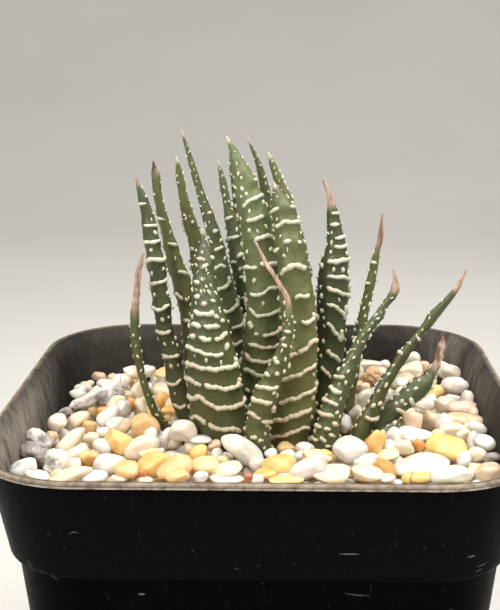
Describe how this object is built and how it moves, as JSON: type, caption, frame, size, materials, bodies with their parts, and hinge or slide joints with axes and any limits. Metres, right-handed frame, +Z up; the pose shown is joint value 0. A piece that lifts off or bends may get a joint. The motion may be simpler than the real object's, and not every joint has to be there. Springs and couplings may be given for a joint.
{
  "type": "potted haworthia",
  "caption": "Small zebra-banded succulent with two offsets, rooted in soil under loose pebbles in a square black plastic nursery pot.",
  "frame": {"origin": "centre of the pot's underside, on the surface it stands on", "axes": "+Z up along the plant, -Y the front, +X to the right seen from the front"},
  "size_m": [0.07, 0.07, 0.1012],
  "materials": {
    "pot_plastic": "satin",
    "soil": "matte",
    "gravel": "satin",
    "crown_skin": "matte",
    "leaf_skin": "satin",
    "pebble_white": "satin",
    "pebble_amber": "satin",
    "pebble_yellow": "satin",
    "pebble_orange": "satin",
    "pebble_brown": "satin",
    "pebble_cream": "satin",
    "pebble_grey": "matte"
  },
  "bodies": {
    "root": {"crown_far": "crown_skin", "crown_main": "crown_skin", "crown_offset": "crown_skin", "far_leaf_back": "leaf_skin", "far_leaf_long": "leaf_skin", "far_leaf_low": "leaf_skin", "far_leaf_stub": "leaf_skin", "gravel_bed": "gravel", "leaf_back_left": "leaf_skin", "leaf_back_low": "leaf_skin", "leaf_back_right": "leaf_skin", "leaf_centre": "leaf_skin", "leaf_front_left": "leaf_skin", "leaf_front_right": "leaf_skin", "leaf_front_small": "leaf_skin", "leaf_inner_back": "leaf_skin", "leaf_inner_left": "leaf_skin", "leaf_inner_right": "leaf_skin", "leaf_left_back": "leaf_skin", "leaf_left_dry": "leaf_skin", "leaf_left_inner": "leaf_skin", "leaf_left_outer": "leaf_skin", "leaf_right": "leaf_skin", "leaf_right_back": "leaf_skin", "leaf_tall_left": "leaf_skin", "offset_leaf_back": "leaf_skin", "offset_leaf_hooked": "leaf_skin", "offset_leaf_slender": "leaf_skin", "offset_leaf_upright": "leaf_skin", "pebble_amber_back": "pebble_amber", "pebble_amber_left": "pebble_amber", "pebble_amber_long": "pebble_amber", "pebble_amber_side": "pebble_amber", "pebble_brown_small": "pebble_brown", "pebble_cream_long": "pebble_cream", "pebble_grey_back": "pebble_grey", "pebble_grey_front": "pebble_grey", "pebble_orange_back": "pebble_orange", "pebble_orange_tall": "pebble_orange", "pebble_white_right": "pebble_white", "pebble_white_round": "pebble_white", "pebble_white_side": "pebble_white", "pebble_yellow_block": "pebble_yellow", "pebble_yellow_front": "pebble_yellow", "pebble_yellow_small": "pebble_yellow", "pot": "pot_plastic", "soil": "soil"}
  },
  "joints": []
}
